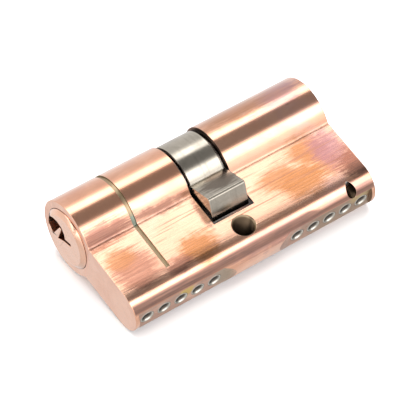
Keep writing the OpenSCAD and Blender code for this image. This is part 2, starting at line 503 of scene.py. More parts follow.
def make_clouds():
    """Soft patches with frayed edges, such as tarnish."""
    group, w, given, out = new_effect(
        "tarnish_clouds",
        {"Place": ("Vector", (0, 0, 0)), "Stretch": ("Vector", (1, 1, 1)), "Size": ("Float", 8.0),
         "Seed": ("Float", 0.0), "Amount": ("Float", 0.5), "Softness": ("Float", 0.1)},
        {"Mask": "Float"},
    )
    place = w.vector("MULTIPLY", given["Place"], given["Stretch"])
    place = w.vector("ADD", place, given["Seed"])
    scale = w.maths("DIVIDE", 1.0, given["Size"])
    cloud = w.noise(place, scale, 4.0, 0.6, 0.5)
    edge = w.maths("SUBTRACT", 1.0, given["Amount"])
    start = w.maths("SUBTRACT", edge, given["Softness"])
    mask = w.ramp(cloud, start, w.maths("ADD", edge, given["Softness"]))
    group.links.new(mask, out["Mask"])
    return group


def make_spot():
    """One stain at a known place, its edge frayed along the brushing."""
    group, w, given, out = new_effect(
        "stain_spot",
        {"Place": ("Vector", (0, 0, 0)), "Centre": ("Vector", (0, 0, 0)),
         "Reach": ("Vector", (1, 1, 1)), "Fray": ("Float", 2.5), "Streaks": ("Float", 0.7)},
        {"Mask": "Float"},
    )
    wobble = w.add(
        "ShaderNodeTexNoise",
        {"Vector": given["Place"], "Scale": 0.33, "Detail": 5.0, "Roughness": 0.62},
    ).outputs[1]
    wobble = w.scaled(w.vector("SUBTRACT", wobble, (0.5, 0.5, 0.5)), given["Fray"])
    offset = w.vector("SUBTRACT", w.vector("ADD", given["Place"], wobble), given["Centre"])
    offset = w.vector("DIVIDE", offset, given["Reach"])
    distance = w.size(offset)
    streaks = w.noise(w.vector("MULTIPLY", given["Place"], (3.0, 0.26, 3.0)), 1.0, 5.0, 0.65)
    streaks = w.maths("MULTIPLY", w.maths("SUBTRACT", streaks, 0.5), given["Streaks"])
    distance = w.maths("ADD", distance, w.maths("MULTIPLY", streaks, 2.0))
    group.links.new(w.ramp(distance, 1.2, 0.5), out["Mask"])
    return group


def make_lines():
    """Fine straight lines left by brushing, grinding or drawing."""
    group, w, given, out = new_effect(
        "brushed_lines",
        {"Place": ("Vector", (0, 0, 0)), "Lay": ("Vector", (4, 0.15, 4)), "Seed": ("Float", 0.0)},
        {"Height": "Float", "Scratches": "Float"},
    )
    place = w.vector("ADD", w.vector("MULTIPLY", given["Place"], given["Lay"]), given["Seed"])
    lines = w.noise(place, 1.0, 3.0, 0.7)
    group.links.new(lines, out["Height"])
    group.links.new(w.ramp(w.noise(place, 0.6, 2.0, 0.5), 0.57, 0.68), out["Scratches"])
    return group


def make_turning():
    """Fine rings left by a lathe tool on a face that looks along the barrel."""
    group, w, given, out = new_effect(
        "turning_rings",
        {"Place": ("Vector", (0, 0, 0)), "Feed": ("Float", 0.12)},
        {"Height": "Float"},
    )
    flat = w.vector("MULTIPLY", given["Place"], (1, 0, 1))
    radius = w.size(flat)
    turn = w.maths("DIVIDE", radius, given["Feed"])
    turn = w.maths("ADD", turn, w.maths("MULTIPLY", w.noise(given["Place"], 0.5, 2.0), 1.5))
    group.links.new(w.maths("PINGPONG", turn, 1.0), out["Height"])
    return group


def make_wear_and_shade():
    """Where edges are rubbed bright, and painted shade where nearby surfaces close a corner in."""
    group, w, given, out = new_effect(
        "edge_wear_and_grime",
        {"Place": ("Vector", (0, 0, 0)), "Edge": ("Float", 0.12), "Corner": ("Float", 0.8)},
        {"Wear": "Float", "Grime": "Float"},
    )
    metres = w.maths("MULTIPLY", given["Edge"], MM)
    rounded_normal = w.add("ShaderNodeBevel", {"Radius": metres}, samples=4).outputs[0]
    normal = w.add("ShaderNodeNewGeometry").outputs["Normal"]
    bend = w.add(
        "ShaderNodeVectorMath", {0: rounded_normal, 1: normal}, operation="DOT_PRODUCT"
    ).outputs["Value"]
    grain = w.noise(given["Place"], 1.4, 4.0, 0.7)
    edge = w.ramp(w.maths("ADD", bend, w.maths("MULTIPLY", grain, 0.06)), 1.0, 0.92)
    group.links.new(edge, out["Wear"])
    # Painted shade: darker where nearby surfaces close the surface in, found by ambient occlusion.
    reach = w.maths("MULTIPLY", given["Corner"], MM)
    shade = w.add("ShaderNodeAmbientOcclusion", {"Distance": reach}, samples=6).outputs["AO"]
    dirt = w.ramp(w.maths("ADD", shade, w.maths("MULTIPLY", grain, 0.25)), 0.95, 0.45)
    group.links.new(dirt, out["Grime"])
    return group


def make_pits():
    """Tiny pits and specks."""
    group, w, given, out = new_effect(
        "pits",
        {"Place": ("Vector", (0, 0, 0)), "Scale": ("Float", 3.0)},
        {"Height": "Float", "Specks": "Float"},
    )
    grain = w.noise(given["Place"], given["Scale"], 4.0, 0.65)
    group.links.new(grain, out["Height"])
    group.links.new(w.ramp(grain, 0.64, 0.74), out["Specks"])
    return group


EFFECTS = {
    "place": make_place, "clouds": make_clouds, "spot": make_spot, "lines": make_lines,
    "turning": make_turning, "wear": make_wear_and_shade, "pits": make_pits,
}
effect_groups = {}


def effect_group(name):
    """A shared effect, built the first time it is asked for."""
    if name not in effect_groups:
        effect_groups[name] = EFFECTS[name]()
    return effect_groups[name]


# A clear coat that whitens the brightest reflections.
LACQUER = {"Coat Weight": 1.0, "Coat IOR": 1.62, "Coat Roughness": 0.1}


class Metal(Wiring):
    """A metal material with its Principled shader and the effects it uses."""

    def __init__(self, name, **values):
        self.material = bpy.data.materials.new(name)
        self.material.use_nodes = True
        super().__init__(self.material.node_tree)
        self.shader = self.tree.nodes["Principled BSDF"]
        self.shader.inputs["Metallic"].default_value = 1.0
        for socket, value in values.items():
            self.shader.inputs[socket].default_value = value
        self.place = self.use("place")

    def use(self, name, **inputs):
        """One of the shared effects, placed on this piece."""
        if name != "place":
            inputs.setdefault("Place", self.place["Place"])
        return self.effect(effect_group(name), inputs)

    def cover(self, colour_socket, roughness, height, depth=0.004, lean=None):
        """Joins the colour, roughness and relief to the shader. The depth is in millimetres."""
        self.tree.links.new(colour_socket, self.shader.inputs["Base Color"])
        self.tree.links.new(roughness, self.shader.inputs["Roughness"])
        normal = self.add("ShaderNodeBump", {"Distance": depth * MM, "Height": height}).outputs[0]
        if lean is not None:
            upwards = self.add("ShaderNodeCombineXYZ", {2: lean}).outputs[0]
            leaning = self.vector("ADD", normal, upwards)
            normal = self.add(
                "ShaderNodeVectorMath", {0: leaning}, operation="NORMALIZE"
            ).outputs[0]
        self.tree.links.new(normal, self.shader.inputs["Normal"])
        return self.material


# Stains on the plating, and one painted shade beside the slot: middle and reach from the middle of the
# barrel's axis, colour and strength.
STAINS = (
    ((5, -24.6, -16.0), (5, 5.8, 5.6), "rose", 0.85),
    ((5, -26.0, -12.2), (5, 3.6, 2.8), "amber", 0.75),
    ((5, -10.8, -18.2), (5, 5.0, 4.0), "amber", 1.0),
    ((5, -16.4, -19.4), (5, 3.6, 2.4), "rose", 0.85),
    # Painted shade, not a stain: a dark strip on the flank beside the slot, where the cam shades it.
    ((5, -5.7, -12.0), (5, 0.9, 4.0), "umber", 0.6),
    ((5, 12.6, -12.6), (5, 5.2, 3.2), "amber", 0.85),
    ((5, 16.8, -15.8), (5, 6.2, 4.4), "amber", 1.0),
    ((5, 22.0, -10.0), (5, 5.0, 3.8), "amber", 0.95),
    ((5, 23.4, -14.8), (5, 3.8, 3.2), "amber", 0.8),
    ((5, 26.2, -12.4), (5, 4.6, 5.6), "lilac", 0.8),
    ((5, 29.0, -17.4), (5, 4.4, 4.0), "rose", 1.0),
    ((5, 28.4, -18.8), (5, 3.4, 1.8), "umber", 0.7),
    ((6.1, -26.2, -6.1), (3.0, 8.4, 2.8), "rose", 0.95),
    ((6.0, -12.0, -6.7), (1.6, 8.6, 1.4), "rose", 0.75),
    ((7.4, 23.4, 3.4), (4.0, 6.4, 4.2), "lilac", 0.75),
    ((6.6, 13.0, 4.6), (4.4, 9.4, 3.8), "amber", 0.85),
    ((3.0, 20.0, 8.0), (4.0, 9.0, 2.2), "amber", 0.5),
    ((6.2, -27.0, 5.6), (2.6, 3.4, 2.4), "blush", 0.8),
    ((3.6, 4.0, -23.0), (3.0, 12.0, 2.2), "lilac", 0.5),
    ((4.0, 26.5, -22.6), (3.0, 3.4, 1.6), "lilac", 0.5),
)


def body_metal():
    """Copper-bronze plating: polished on the barrel, brushed on the flange and stained in patches."""
    tones = settings().finishes
    m = Metal("body_metal", **LACQUER)
    x, y, z = m.place["X"], m.place["Y"], m.place["Z"]
    end = span("housing")[1].y
    side = m.maths("SIGN", x)
    turned_place = m.add(
        "ShaderNodeCombineXYZ", {0: m.maths("ABSOLUTE", x), 1: m.maths("MULTIPLY", y, side), 2: z}
    ).outputs[0]
    below = m.ramp(z, -6.4, -7.4)
    flat = m.maths("MULTIPLY", m.ramp(m.maths("ABSOLUTE", x), 4.86, 4.97), below)
    blush = m.use("clouds", Size=7.0, Stretch=(1, 0.5, 1), Seed=3.1, Amount=0.5, Softness=0.16)["Mask"]
    base = m.tint(rgba(tones.copper), blush, 0.7, rgba(tones.blush))
    base = m.tint(base, flat, 0.6, (0.97, 0.6, 0.42, 1))
    haze = m.use("clouds", Size=9.0, Stretch=(1, 0.6, 1), Seed=11.7, Amount=0.42, Softness=0.12)["Mask"]
    haze = m.maths("MULTIPLY", haze, m.ramp(y, 6.0, 26.0, 0.15, 0.9))
    base = m.tint(base, haze, 0.5, (0.72, 0.45, 0.47, 1))
    lines = m.use("lines", Lay=(4.0, 0.1, 4.0), Seed=2.0)
    streaks = m.scale_add(lines["Height"], 0.9, 0.5)
    streaks = m.maths("MULTIPLY", streaks, m.ramp(m.maths("ABSOLUTE", y), end - 0.05, end - 0.25))
    for middle, reach, tone, strength in STAINS:
        spot = m.use("spot", Place=turned_place, Centre=middle, Reach=reach, Fray=3.6)["Mask"]
        spot = m.maths("MULTIPLY", spot, m.maths("MULTIPLY", streaks, strength), clamp=True)
        base = m.mix(spot, base, rgba(getattr(tones, tone)))
    band_top = m.ramp(y, 13.0, 17.0, -22.1, -22.9)
    band = m.ramp(m.maths("SUBTRACT", z, band_top), 0.3, -0.3)
    band = m.maths("MULTIPLY", m.maths("MULTIPLY", band, m.ramp(z, -23.9, -23.4)), streaks)
    base = m.mix(band, base, rgba(tones.umber))
    mottle = m.use("clouds", Size=2.6, Stretch=(1, 0.45, 1), Seed=5.3, Amount=0.5, Softness=0.2)["Mask"]
    base = m.tint(base, mottle, m.ramp(z, 1.0, 4.5, 0.14, 0.5), (0.66, 0.29, 0.17, 1))
    dark_lines = m.maths("MULTIPLY", m.maths("MULTIPLY", lines["Scratches"], flat), 0.7)
    base = m.mix(dark_lines, base, (0.42, 0.18, 0.1, 1))
    wear = m.use("wear", Edge=0.14, Corner=0.9)
    base = m.tint(base, wear["Wear"], tones.wear, (0.98, 0.74, 0.58, 1))
    # Painted shade: the plating is darkened in its corners and creases.
    base = m.tint(base, wear["Grime"], 0.7, (0.13, 0.065, 0.04, 1))
    pits = m.use("pits", Scale=2.2)
    rough = m.scale_add(pits["Height"], 0.1, 0.08)
    rough = m.maths("ADD", rough, m.maths("MULTIPLY", flat, 0.1))
    rough = m.maths("ADD", rough, m.maths("MULTIPLY", blush, 0.04))
    from_crease = m.maths("ABSOLUTE", m.maths("ADD", z, 6.8))
    rough = m.maths("ADD", rough, m.ramp(from_crease, 0.9, 0.2, 0.0, 0.25))
    fine = m.maths("MULTIPLY", lines["Height"], m.scale_add(flat, 1.3, 0.5))
    height = m.maths("ADD", fine, m.maths("MULTIPLY", pits["Height"], 0.1))
    # The flank leans a little towards the barrel, and less along its lower edge.
    lean = m.maths("MULTIPLY", m.maths("MULTIPLY", flat, m.ramp(z, -19.3, -17.6)), 0.05)
    return m.cover(base, rough, height, 0.006, lean)


def cut_brass():
    """Bare brass where a tool has cut through the plating, with painted shade in its corners, deep in the
    screw's hole and in the anti-drill pin's hole.
    """
    tones = settings().finishes
    m = Metal("cut_brass")
    pits = m.use("pits", Scale=4.0)
    base = m.mix(pits["Height"], rgba(tones.bare), (0.5, 0.39, 0.25, 1))
    near_crease = m.use("spot", Centre=(5.4, -18.7, -6.2), Reach=(2.4, 2.0, 1.2), Fray=0.8)["Mask"]
    base = m.tint(base, near_crease, 0.85, rgba(tones.verdigris))
    base = m.tint(base, pits["Specks"], 0.7, (0.12, 0.08, 0.045, 1))
    wear = m.use("wear", Edge=0.1, Corner=0.5)
    base = m.tint(base, wear["Wear"], 0.5, (0.85, 0.72, 0.48, 1))
    # Painted shade darkens the corners.
    base = m.tint(base, wear["Grime"], 0.45, (0.1, 0.07, 0.04, 1))
    # Painted shade: near black deep in the screw's hole, darkest furthest from its mouths.
    screw = m.vector("SUBTRACT", m.place["Place"], (0, 0, -settings().housing.screw_drop / MM))
    screw = m.vector("MULTIPLY", screw, (0, 1, 1))
    radius = m.size(screw)
    depth = m.ramp(m.maths("ABSOLUTE", m.place["X"]), 5.1, 4.2, 0.35, 1.0)
    hole_shade = m.maths("MULTIPLY", m.ramp(radius, 3.2, 2.9), depth)
    base = m.tint(base, hole_shade, 0.85, (0.05, 0.03, 0.02, 1))
    # Painted shade: dark in the anti-drill pin's hole, darker towards the bottom.
    guard = span("anti_drill_pin")
    middle = (guard[0] + guard[1]) / 2
    notch = m.vector("SUBTRACT", m.place["Place"], (middle.x, middle.y, 0))
    notch = m.vector("MULTIPLY", notch, (1, 1, 0))
    deep = m.ramp(m.place["Z"], -19.6, -21.4, 0.3, 0.9)
    notch_shade = m.maths("MULTIPLY", m.ramp(m.size(notch), 1.3, 1.15), deep)
    base = m.mix(notch_shade, base, (0.07, 0.045, 0.028, 1))
    rough = m.maths("ADD", m.maths("MULTIPLY", pits["Height"], 0.3), 0.2)
    return m.cover(base, rough, pits["Height"], 0.01)


def slot_copper():
    """Plating inside the slot and the bores, duller than outside, its colour a darker copy of the copper as
    painted shade.
    """
    m = Metal("slot_copper")
    clouds = m.use("clouds", Size=3.0, Seed=4.4, Amount=0.5, Softness=0.2)["Mask"]
    base = m.mix(clouds, (0.42, 0.22, 0.14, 1), (0.22, 0.11, 0.075, 1))
    wear = m.use("wear", Edge=0.1, Corner=4.5)
    # Painted shade: near black in the corners.
    base = m.tint(base, wear["Grime"], 0.95, (0.03, 0.017, 0.012, 1))
    # Painted shade: near black towards the slot's floor under the lever.
    floor = m.ramp(m.place["Z"], -12.6, -14.6, 0.0, 0.93)
    base = m.mix(floor, base, (0.012, 0.008, 0.006, 1))
    lines = m.use("lines", Lay=(0.3, 4.0, 4.0), Seed=7.0)
    rough = m.maths("ADD", m.maths("MULTIPLY", clouds, 0.12), 0.26)
    return m.cover(base, rough, lines["Height"], 0.006)


def ground_flat():
    """The flats ground along the bottom: brown copper, olive grey by the slot and gilt in places."""
    tones = settings().finishes
    m = Metal("ground_flat")
    lines = m.use("lines", Lay=(6.0, 0.35, 6.0), Seed=9.0)
    clouds = m.use("clouds", Size=4.0, Stretch=(1, 0.5, 1), Seed=8.1, Amount=0.45, Softness=0.15)["Mask"]
    base = m.mix(clouds, (0.52, 0.31, 0.23, 1), (0.78, 0.49, 0.37, 1))
    base = m.mix(m.ramp(m.place["Y"], 9.0, 18.0, 0.0, 0.75), base, (0.33, 0.24, 0.16, 1))
    olive = m.use("spot", Centre=(1.0, -8.2, -24.2), Reach=(5.0, 2.8, 2.6), Fray=2.5)["Mask"]
    base = m.tint(base, olive, 0.75, rgba(tones.flats))
    gilt = m.use("spot", Centre=(2.0, -17.4, -23.7), Reach=(2.2, 1.8, 2.0), Fray=1.5)["Mask"]
    base = m.tint(base, gilt, 0.85, (0.72, 0.5, 0.12, 1))
    rear_gilt = m.use("spot", Centre=(3.0, 26.0, -23.2), Reach=(3.0, 3.0, 2.0), Fray=2.0)["Mask"]
    base = m.tint(base, rear_gilt, 0.6, (0.66, 0.48, 0.2, 1))
    base = m.tint(base, lines["Scratches"], 0.4, (0.3, 0.2, 0.13, 1))
    wear = m.use("wear", Edge=0.1, Corner=0.6)
    # Painted shade darkens the corners.
    base = m.tint(base, wear["Grime"], 0.6, (0.1, 0.08, 0.05, 1))
    rough = m.maths("ADD", m.maths("MULTIPLY", lines["Height"], 0.2), 0.2)
    return m.cover(base, rough, lines["Height"], 0.008)


def plug_metal():
    """Plating on the plugs, with turning rings on the face."""
    tones = settings().finishes
    m = Metal("plug_metal", **LACQUER)
    clouds = m.use("clouds", Size=4.0, Seed=2.2, Amount=0.45, Softness=0.2)["Mask"]
    base = m.tint(rgba(tones.plug), clouds, 0.5, (0.9, 0.46, 0.28, 1))
    rings = m.use("turning", Feed=0.16)["Height"]
    wear = m.use("wear", Edge=0.15, Corner=1.2)
    base = m.tint(base, wear["Wear"], tones.wear, (0.98, 0.78, 0.62, 1))
    # Painted shade darkens the corners and the keyway.
    base = m.tint(base, wear["Grime"], 0.5, (0.2, 0.09, 0.06, 1))
    pits = m.use("pits", Scale=3.0)
    rough = m.maths("ADD", m.maths("MULTIPLY", pits["Height"], 0.16), 0.14)
    height = m.maths("ADD", m.maths("MULTIPLY", rings, 0.5), pits["Height"])
    return m.cover(base, rough, height, 0.005)


def steel(name, tone, lay, rough_from, rough_by, dirt=0.6, relief=0.004, cloud_size=3.0, extra=None):
    """A steel with lines along its lay, cloudy tone, bright worn edges and painted shade in its corners."""
    m = Metal(name)
    lines = m.use("lines", Lay=lay, Seed=1.0)
    clouds = m.use("clouds", Size=cloud_size, Seed=6.0, Amount=0.5, Softness=0.25)["Mask"]
    darker = tuple(c * 0.8 for c in tone[:3])
    base = m.mix(clouds, rgba(tone), rgba(darker))
    base = m.tint(base, lines["Scratches"], 0.25, rgba([c * 0.6 for c in tone[:3]]))
    wear = m.use("wear", Edge=0.12, Corner=0.8)
    lighter = tuple(min(1.0, c * 1.45) for c in tone[:3])
    base = m.tint(base, wear["Wear"], 0.6, rgba(lighter))
    if extra:
        base = extra(m, base)
    # Painted shade darkens the corners.
    base = m.tint(base, wear["Grime"], dirt, (0.05, 0.042, 0.035, 1))
    rough = m.maths("ADD", m.maths("MULTIPLY", lines["Height"], rough_by), rough_from)
    rough = m.maths("ADD", rough, m.maths("MULTIPLY", clouds, 0.06))
    return m.cover(base, rough, lines["Height"], relief)


def shaded_dish(m, base):
    """Painted shade in the dish of a cap, darkest at its floor."""
    rim = span("chamber_cap_front_1")[0].z
    deep = m.ramp(m.place["Z"], rim + 0.1, rim + 0.5)
    return m.tint(base, deep, 0.9, (0.05, 0.036, 0.028, 1))


def lever_tarnish_and_shade(m, base):
    """Brown tarnish on the lever's upper face, painted shade darkening its tip face towards the bottom, and
    a darker patch at its root.
    """
    upper = m.use("spot", Centre=(7.6, 0.4, -8.7), Reach=(2.2, 5.0, 2.6), Fray=1.4)["Mask"]
    base = m.tint(base, upper, 0.8, (0.15, 0.115, 0.09, 1))
    # Painted shade: the tip face is darker towards its bottom.
    tip = m.maths("MULTIPLY", m.ramp(m.place["X"], 6.8, 4.2), m.ramp(m.place["Z"], -12.2, -13.6))
    base = m.tint(base, tip, 0.75, (0.15, 0.12, 0.095, 1))
    root = m.use("spot", Centre=(6.3, 1.2, -6.4), Reach=(1.4, 3.0, 1.2), Fray=1.5)["Mask"]
    return m.tint(base, root, 0.5, (0.3, 0.19, 0.14, 1))


def steel_finish(name, tone_name, **values):
    """A builder for one steel finish, its tone from the settings."""
    return lambda: steel(name, tuple(getattr(settings().finishes, tone_name)), **values)


FINISH_BUILDERS = {
    "body_metal": body_metal,
    "cut_brass": cut_brass,
    "slot_copper": slot_copper,
    "ground_flat": ground_flat,
    "plug_metal": plug_metal,
    "cam_steel": steel_finish(
        "cam_steel", "cam", lay=(0.2, 5.0, 0.2), rough_from=0.11, rough_by=0.09, relief=0.002,
        extra=lever_tarnish_and_shade
    ),
    "clutch_steel": steel_finish("clutch_steel", "clutch", lay=(2, 2, 2), rough_from=0.3, rough_by=0.2),
    "spring_steel": steel_finish(
        "spring_steel", "spring", lay=(3, 3, 0.6), rough_from=0.16, rough_by=0.12
    ),
    "cap_steel": steel_finish(
        "cap_steel", "cap", lay=(3, 3, 3), rough_from=0.12, rough_by=0.14, dirt=0.7, cloud_size=1.2,
        extra=shaded_dish
    ),
    "hard_steel": steel_finish("hard_steel", "hard", lay=(1, 1, 6), rough_from=0.26, rough_by=0.2),
    "key_pin_brass": steel_finish(
        "key_pin_brass", "brass", lay=(0.5, 0.5, 9), rough_from=0.16, rough_by=0.16
    ),
    "driver_metal": steel_finish(
        "driver_metal", "nickel", lay=(0.5, 0.5, 9), rough_from=0.16, rough_by=0.16
    ),
}
finishes_made = {}


def finish(name):
    """A material, built the first time it is asked for."""
    if name not in finishes_made:
        finishes_made[name] = FINISH_BUILDERS[name]()
    return finishes_made[name]


# ---------------------------------------------------------------- pieces

HOUSING_FINISHES = ("body_metal", "cut_brass", "slot_copper", "ground_flat")
PLATED, CUT, SHADED_SLOT, GROUND = range(4)


def body_outline(s):
    """Outline of barrel and flange across the barrel."""
    reach = s.barrel_radius + s.crease
    centre_x = s.flange_half + s.crease
    centre_z = -math.sqrt(reach * reach - centre_x * centre_x)
    tangent = math.degrees(math.atan2(centre_z, centre_x))
    low_z = s.flange_half - s.bottom
    right = arc(s.crease, 180, 180 + tangent, 5, (centre_x, centre_z))
    left = [(-x, z) for x, z in reversed(right)]
    barrel = arc(s.barrel_radius, tangent, 180 - tangent, 96)[1:-1]
    foot = arc(s.flange_half, 180, 360, 48, (0, low_z))
    return right + barrel + left + foot


def stack_y(index):
    """Distance of a pin stack from the middle of the slot. Stack 1 is the innermost."""
    low, high = span(f"chamber_cap_front_{index}")
    return -(low.y + high.y) / 2


def chamber_tools(s):
    """Holes for the pin stacks, each with a wider mouth for its cap."""
    cap_low, cap_high = span("chamber_cap_front_1")
    cap_radius = (cap_high.x - cap_low.x) / 2
    mouth = -s.bottom - 1
    outline = [(cap_radius, mouth), (cap_radius, cap_high.z), (STACK_RADIUS, cap_high.z),
               (STACK_RADIUS, -4)]
    tools = []
    for index in range(1, PINS_A_SIDE + 1):
        for sign in (-1, 1):
            tools.append(turned("chamber", outline, "Z", (0, sign * stack_y(index)), 40))
    return gather("chambers", tools)


def groove_tool(s):
    """Slab for the snap-off groove, hollow where the core stays."""
    half = s.groove_width / 2
    slab = block(
        "groove",
        (-PAST, -s.groove_y - half, -s.screw_drop),
        (PAST, -s.groove_y + half, s.barrel_radius + 1),
    )
    depth = s.groove_depth
    core = prism("core", circle(s.barrel_radius - depth), "Y", -2 * PAST, 0)
    side = s.flange_half - depth
    web = block("web", (-side, -2 * PAST, -2 * PAST), (side, 0, 0))
    return carve(slab, [core, web])


def flat_tools(s):
    """Material ground away along the bottom, with a sloping run-out towards the slot."""
    depth_z = span("chamber_cap_front_1")[0].z
    outer = s.half_length - 0.9
    inner = stack_y(1) - 2
    outline = [
        (-outer, depth_z), (-inner, depth_z), (-inner + 3, -s.bottom - 0.01),
        (-inner + 3, -s.bottom - 1), (-outer, -s.bottom - 1),
    ]
    front = prism("flat", outline, "X", -PAST, PAST)
    rear = prism("flat", [(-a, b) for a, b in reversed(outline)], "X", -PAST, PAST)
    return gather("flats", [front, rear])


def thread_tool(s):
    """A screw with a sharp thread, for the cross hole."""
    steps, rise = 36, 4
    pitch, core, crest = s.thread_pitch, 2.1, 2.48
    wave = (0.0, 0.5, 1.0, 0.5)
    start = -s.flange_half - 0.6 - pitch
    rows = int((2 * s.flange_half + 1.2 + pitch) / pitch) * rise
    points, faces = [], []
    for row in range(rows + 1):
        radius = core + (crest - core) * wave[row % rise]
        for j in range(steps):
            angle = 2 * math.pi * j / steps
            x = start + pitch * (row / rise + j / steps)
            points.append((x, radius * math.cos(angle), radius * math.sin(angle) - s.screw_drop))

    def at(row, j):
        return (row + rise) * steps if j == steps else row * steps + j

    last = rows - rise
    for row in range(last):
        for j in range(steps):
            faces.append((at(row, j), at(row, j + 1), at(row + 1, j + 1), at(row + 1, j)))
    points += [(start - 1, 0, -s.screw_drop), (start + pitch * (rows / rise) + 1, 0, -s.screw_drop)]
    near, far = len(points) - 2, len(points) - 1
    first_loop = [at(0, j) for j in range(steps)] + [k * steps for k in range(rise, 0, -1)]
    last_loop = [at(last, j) for j in range(steps)]
    last_loop += [k * steps for k in range(last + rise, last, -1)]
    for loop, tip in ((first_loop, near), (last_loop, far)):
        for a, b in zip(loop, loop[1:] + loop[:1]):
            faces.append((a, b, tip))
    return solid("thread", points, faces)


def sink_tools(s):
    """Countersinks at both mouths of the cross hole."""
    face = s.flange_half
    outline = [(1.9, face - 0.7), (2.6, face), (2.9, face + 0.3)]
    mirrored = [(r, -t) for r, t in outline]
    centre = (0, -s.screw_drop)
    return gather("sinks", [turned("sink", o, "X", centre, 56) for o in (outline, mirrored)])


class CYLINDER_OT_housing(bpy.types.Operator):
    """Make the barrel and flange, with bore, slot, chambers, groove, flats and threaded hole"""

    bl_idname = "profile_cylinder.make_housing"
    bl_label = "Housing"

    def execute(self, context):
        s = Millimetres(settings().housing)
        housing = paint(
            prism("housing_blank", body_outline(s), "Y", -s.half_length, s.half_length),
            HOUSING_FINISHES, PLATED,
        )
        end = s.half_length
        bore = turned(
            "bore",
            [(s.seat_radius, -end - 1), (s.seat_radius, -end + HEAD_SEAT),
             (s.bore_radius, -end + HEAD_SEAT), (s.bore_radius, end - HEAD_SEAT),
             (s.seat_radius, end - HEAD_SEAT), (s.seat_radius, end + 1)],
            "Y", steps=96,
        )
        slot = block("slot", (-PAST, -s.slot_half, -s.slot_depth), (PAST, s.slot_half, PAST))
        drill_low, drill_high = span("anti_drill_pin")
        middle = (drill_low + drill_high) / 2
        hole_wall = [(GUARD_RADIUS, -s.bottom - 1), (GUARD_RADIUS, drill_high.z + 0.1)]
        hole = turned("hole", hole_wall, "Z", middle[:2], 32)
        carve(housing, [
            paint(bore, HOUSING_FINISHES, SHADED_SLOT),
            paint(flat_tools(s), HOUSING_FINISHES, GROUND),
            paint(chamber_tools(s), HOUSING_FINISHES, CUT),
            paint(slot, HOUSING_FINISHES, SHADED_SLOT),
            paint(groove_tool(s), HOUSING_FINISHES, CUT),
            paint(hole, HOUSING_FINISHES, CUT),
            paint(sink_tools(s), HOUSING_FINISHES, CUT),
        ])

        chamber_edge = STACK_RADIUS + 0.25

        def on_end_outline(edge):
            return all(
                abs(v.co.y) > end - 0.01 and math.hypot(v.co.x, v.co.z) > s.seat_radius + 0.3
                for v in edge.verts
            )

        def on_other_edge(edge):
            points = [v.co for v in edge.verts]
            if all(abs(p.y) > end - 0.3 for p in points) and on_outline(points):
                return False
            inside = all(math.hypot(p.x, p.z) < s.bore_radius + 0.1 for p in points)
            if inside and not all(abs(abs(p.y) - s.slot_half) < 0.01 for p in points):
                return False
            if all(
                abs(p.x) < chamber_edge and p.z > -s.bottom + 1 and abs(p.y) > s.slot_half + 0.5
                for p in points
            ):
                return False
            return not all(
                abs(p.x) < s.flange_half - 0.05 and math.hypot(p.y, p.z + s.screw_drop) < 2.8
                for p in points
            )

        def on_outline(points):
            return all(math.hypot(p.x, p.z) > s.seat_radius + 0.3 for p in points)

        round_edges(housing, s.end_round, 3, on_end_outline)
        round_edges(housing, s.edge_round, 2, on_other_edge)
        carve(housing, [paint(thread_tool(s), HOUSING_FINISHES, CUT)])
        into_frame(housing, "barrel_and_flange", "cylinder_body", "body_metal", "housing")
        return {"FINISHED"}


def keyway_outline(half):
    """Outline of the keyway seen from the front, open at the top of the plug."""
    lean = 0.4
    return [
        (lean - half, 7.5), (lean + half, 7.5), (lean + half, 5.6), (2.5, 4.4), (2.9, 2.9), (2.7, 1.5),
        (1.7, 0.4), (0.4, -0.1), (1.1, -2.0), (0.5, -2.3), (-0.6, 0.2), (-1.9, 2.1), (1.9, 1.4),
        (1.9, 2.1), (-2.0, 3.7), (-1.9, 4.5), (lean - half, 5.7),
    ]


def make_plug(side):
    """One plug: turned, with head and bevel, keyway, pin holes, clip groove and tongue slot."""
    s = Millimetres(settings().plug)
    low, high = span("front_plug")
    front, back = low.y, high.y
    end = -span("housing")[1].y
    clip_low, clip_high = span("front_circlip")
    groove_floor, play = 5.6, 0.03
    groove = [
        (s.radius, clip_low.y - play), (groove_floor, clip_low.y - play),
        (groove_floor, clip_high.y + play), (s.radius, clip_high.y + play),
    ]
    head_back = end + 1.05
    outline = [
        (0.01, front), (s.face_radius - 0.12, front), (s.face_radius, front + 0.03),
        (s.face_radius + 0.1, front + 0.1), (s.head_radius - 0.08, end - 0.2),
        (s.head_radius - 0.02, end - 0.13), (s.head_radius, end - 0.05), (s.head_radius, head_back),
        (s.radius, head_back), *groove, (s.radius, back - 0.15), (s.radius - 0.15, back),
        (0.01, back),
    ]
    plug = paint(turned("plug", outline, "Y", steps=96), ("plug_metal",))
    keyway = prism("keyway", keyway_outline(s.keyway_half), "Y", front - 1, 1)
    holes = gather("pin_holes", [
        turned("pin_hole", [(STACK_RADIUS, -8), (STACK_RADIUS, 0.5)], "Z", (0, -stack_y(i)), 40)
        for i in range(1, PINS_A_SIDE + 1)
    ])
    slot_half = 1.45
    tongue = block("tongue", (-slot_half, back - 1.05, -PAST), (slot_half, back + 1, PAST))
    carve(plug, [keyway, holes, tongue])
    round_edges(
        plug, s.edge_round, 3,
        lambda edge: all(abs(v.co.y - front) < 0.01 for v in edge.verts), 60,
    )
    if side == "rear":
        to_rear(plug)
    into_frame(plug, f"plug_{side}", f"{side}_plug", "plug_metal", f"{side}_plug", smooth_below=32)


class CYLINDER_OT_plugs(bpy.types.Operator):
    """Make the front and the rear plug"""

    bl_idname = "profile_cylinder.make_plugs"
    bl_label = "Plugs"

    def execute(self, context):
        for side in SIDES:
            make_plug(side)
        return {"FINISHED"}


